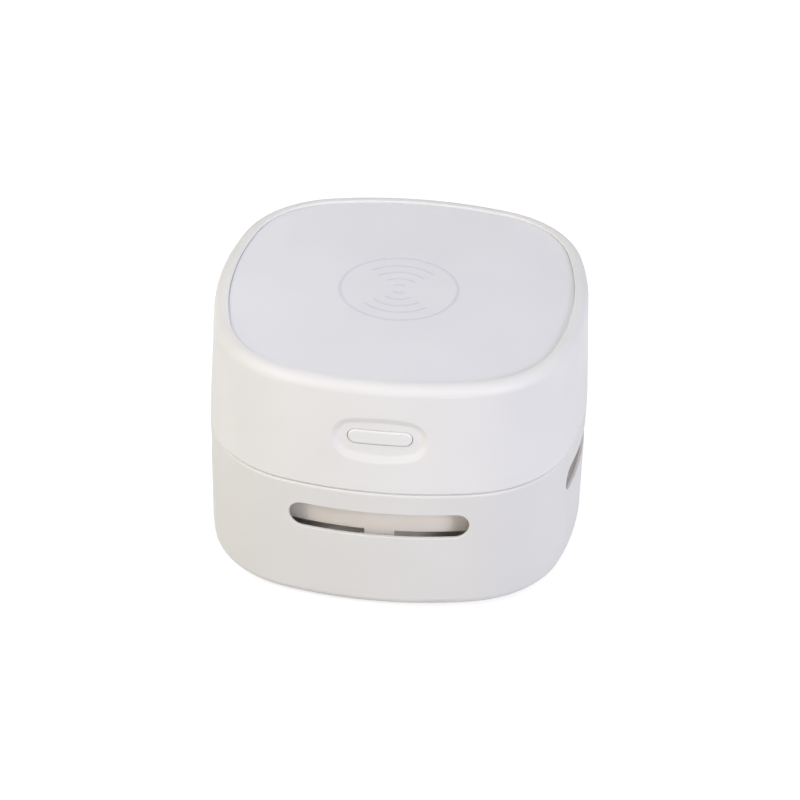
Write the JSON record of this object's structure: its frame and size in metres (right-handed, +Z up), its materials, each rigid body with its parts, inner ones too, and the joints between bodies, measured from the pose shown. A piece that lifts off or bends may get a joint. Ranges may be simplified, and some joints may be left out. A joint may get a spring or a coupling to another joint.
{
  "type": "desktop mini vacuum cleaner",
  "caption": "Palm-sized desk vacuum: rounded-square dust base with side air outlets under a lift-off motor unit with a front push button and an inlaid top panel.",
  "frame": {"origin": "on the table, at the middle of the base, level with the undersides of the four foot pads", "axes": "+Z up; the push button faces -Y, the charging socket faces +Y, +X is to the right when the button faces the user"},
  "size_m": [0.084, 0.084, 0.0574],
  "materials": {
    "casing_plastic": "off-white moulded ABS, very fine matt texture",
    "panel_plastic": "cool white moulded ABS, satin",
    "emblem_paint": "pale grey pad-printed fill",
    "button_plastic": "off-white moulded ABS, satin",
    "cup_plastic": "warm white moulded ABS",
    "chassis_plastic": "pale grey moulded ABS",
    "fan_plastic": "dark grey moulded nylon",
    "switch_plastic": "black moulded nylon",
    "seal_rubber": "soft grey silicone",
    "foot_rubber": "grey rubber, matt",
    "brush_plastic": "dark grey moulded back",
    "bristle_nylon": "black nylon hair",
    "filter_paper": "pleated white filter paper",
    "screw_steel": "zinc-plated steel",
    "motor_steel": "drawn bright steel",
    "motor_cap_plastic": "white nylon end cap",
    "magnet_ferrite": null,
    "bush_bronze": "sintered bronze",
    "winding_copper": null,
    "cell_wrap": "blue shrink film over a lithium cell",
    "board_laminate": "green solder mask on glass laminate",
    "board_component": "black moulded components",
    "socket_steel": "nickel-plated shell",
    "socket_plastic": "black moulded tongue",
    "lamp_plastic": "clear moulded light rod",
    "lead_insulation": "red and black insulated wire"
  },
  "bodies": {
    "dust_base": {"lower_shell": "casing_plastic", "base_floor": "casing_plastic", "brush_strip_front": "brush_plastic", "brush_strip_rear": "brush_plastic", "bristles_front": "bristle_nylon", "bristles_rear": "bristle_nylon", "dust_cup": "cup_plastic", "cup_gasket": "seal_rubber", "foot_pads": "foot_rubber", "base_screws": "screw_steel"},
    "motor_unit": {"upper_shell": "casing_plastic", "top_panel": "panel_plastic", "emblem_inlay": "emblem_paint", "switch_body": "switch_plastic", "switch_board": "board_laminate", "button_spring": "motor_steel", "chassis": "chassis_plastic", "chassis_screws": "screw_steel", "housing_screws": "screw_steel", "fan_housing": "chassis_plastic", "motor_can": "motor_steel", "motor_cap": "motor_cap_plastic", "motor_terminals": "winding_copper", "motor_magnets": "magnet_ferrite", "motor_bearings": "bush_bronze", "motor_screws": "screw_steel", "battery": "cell_wrap", "battery_cradle": "chassis_plastic", "main_board": "board_laminate", "board_parts": "board_component", "board_screws": "screw_steel", "usb_socket": "socket_steel", "usb_tongue": "socket_plastic", "charge_lamp": "lamp_plastic", "battery_leads": "lead_insulation", "motor_leads": "lead_insulation", "switch_leads": "lead_insulation"},
    "rotor": {"impeller": "fan_plastic", "motor_shaft": "motor_steel", "armature_core": "motor_steel", "armature_coils": "winding_copper", "commutator": "winding_copper"},
    "button": {"power_button": "button_plastic", "switch_stem": "switch_plastic"},
    "filter": {"filter_frame": "chassis_plastic", "filter_pleats": "filter_paper"}
  },
  "joints": [
    {"name": "motor_unit_lift", "type": "slide", "parent": "dust_base", "child": "motor_unit", "axis": [0, 0, 1], "range_m": [0, 0.04]},
    {"name": "power_button_press", "type": "slide", "parent": "motor_unit", "child": "button", "axis": [0, 1, 0], "range_m": [0, 0.001], "stiffness_N_per_m": 600, "springref_m": -0.0005, "deforming": ["button_spring"]},
    {"name": "fan_spin", "type": "hinge", "parent": "motor_unit", "child": "rotor", "pos_m": [0, 0, 0.038], "axis": [0, 0, 1], "continuous": true},
    {"name": "filter_pull", "type": "slide", "parent": "motor_unit", "child": "filter", "axis": [0, 0, -1], "range_m": [0, 0.008]}
  ]
}
